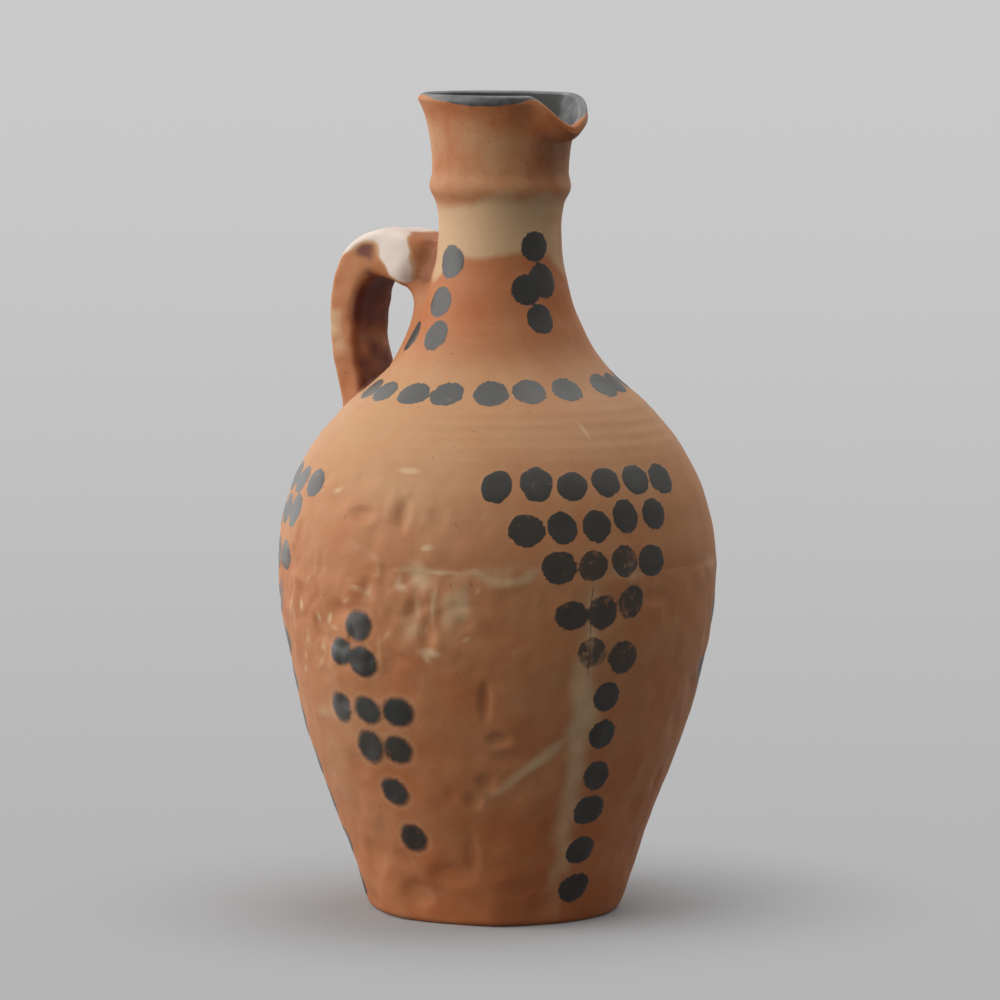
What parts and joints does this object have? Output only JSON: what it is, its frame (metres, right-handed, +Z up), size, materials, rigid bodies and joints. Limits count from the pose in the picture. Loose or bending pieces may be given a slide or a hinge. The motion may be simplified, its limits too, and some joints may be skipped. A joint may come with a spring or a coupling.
{
  "type": "clay jug",
  "caption": "Hand-made terracotta jug with a rounded belly, narrow neck, pinched pouring lip and strap handle, for holding and pouring water.",
  "frame": {"origin": "centre of the foot, on the surface that the jug stands on", "axes": "+Z up the pot's axis, +X towards the pouring lip, handle on the -X side"},
  "size_m": [0.172, 0.172, 0.321],
  "materials": {
    "red_clay": "unglazed, burnished terracotta with finger dots in black slip",
    "neck_clay": "unglazed terracotta with a wash of pale slip",
    "mouth_clay": "unglazed terracotta, dark slip on the lip and inside",
    "handle_clay": "unglazed terracotta with pale slip on top"
  },
  "bodies": {
    "root": {"lower_body": "red_clay", "upper_body": "red_clay", "neck": "neck_clay", "mouth": "mouth_clay", "handle": "handle_clay", "upper_handle_wad": "handle_clay", "lower_handle_wad": "handle_clay"}
  },
  "joints": []
}
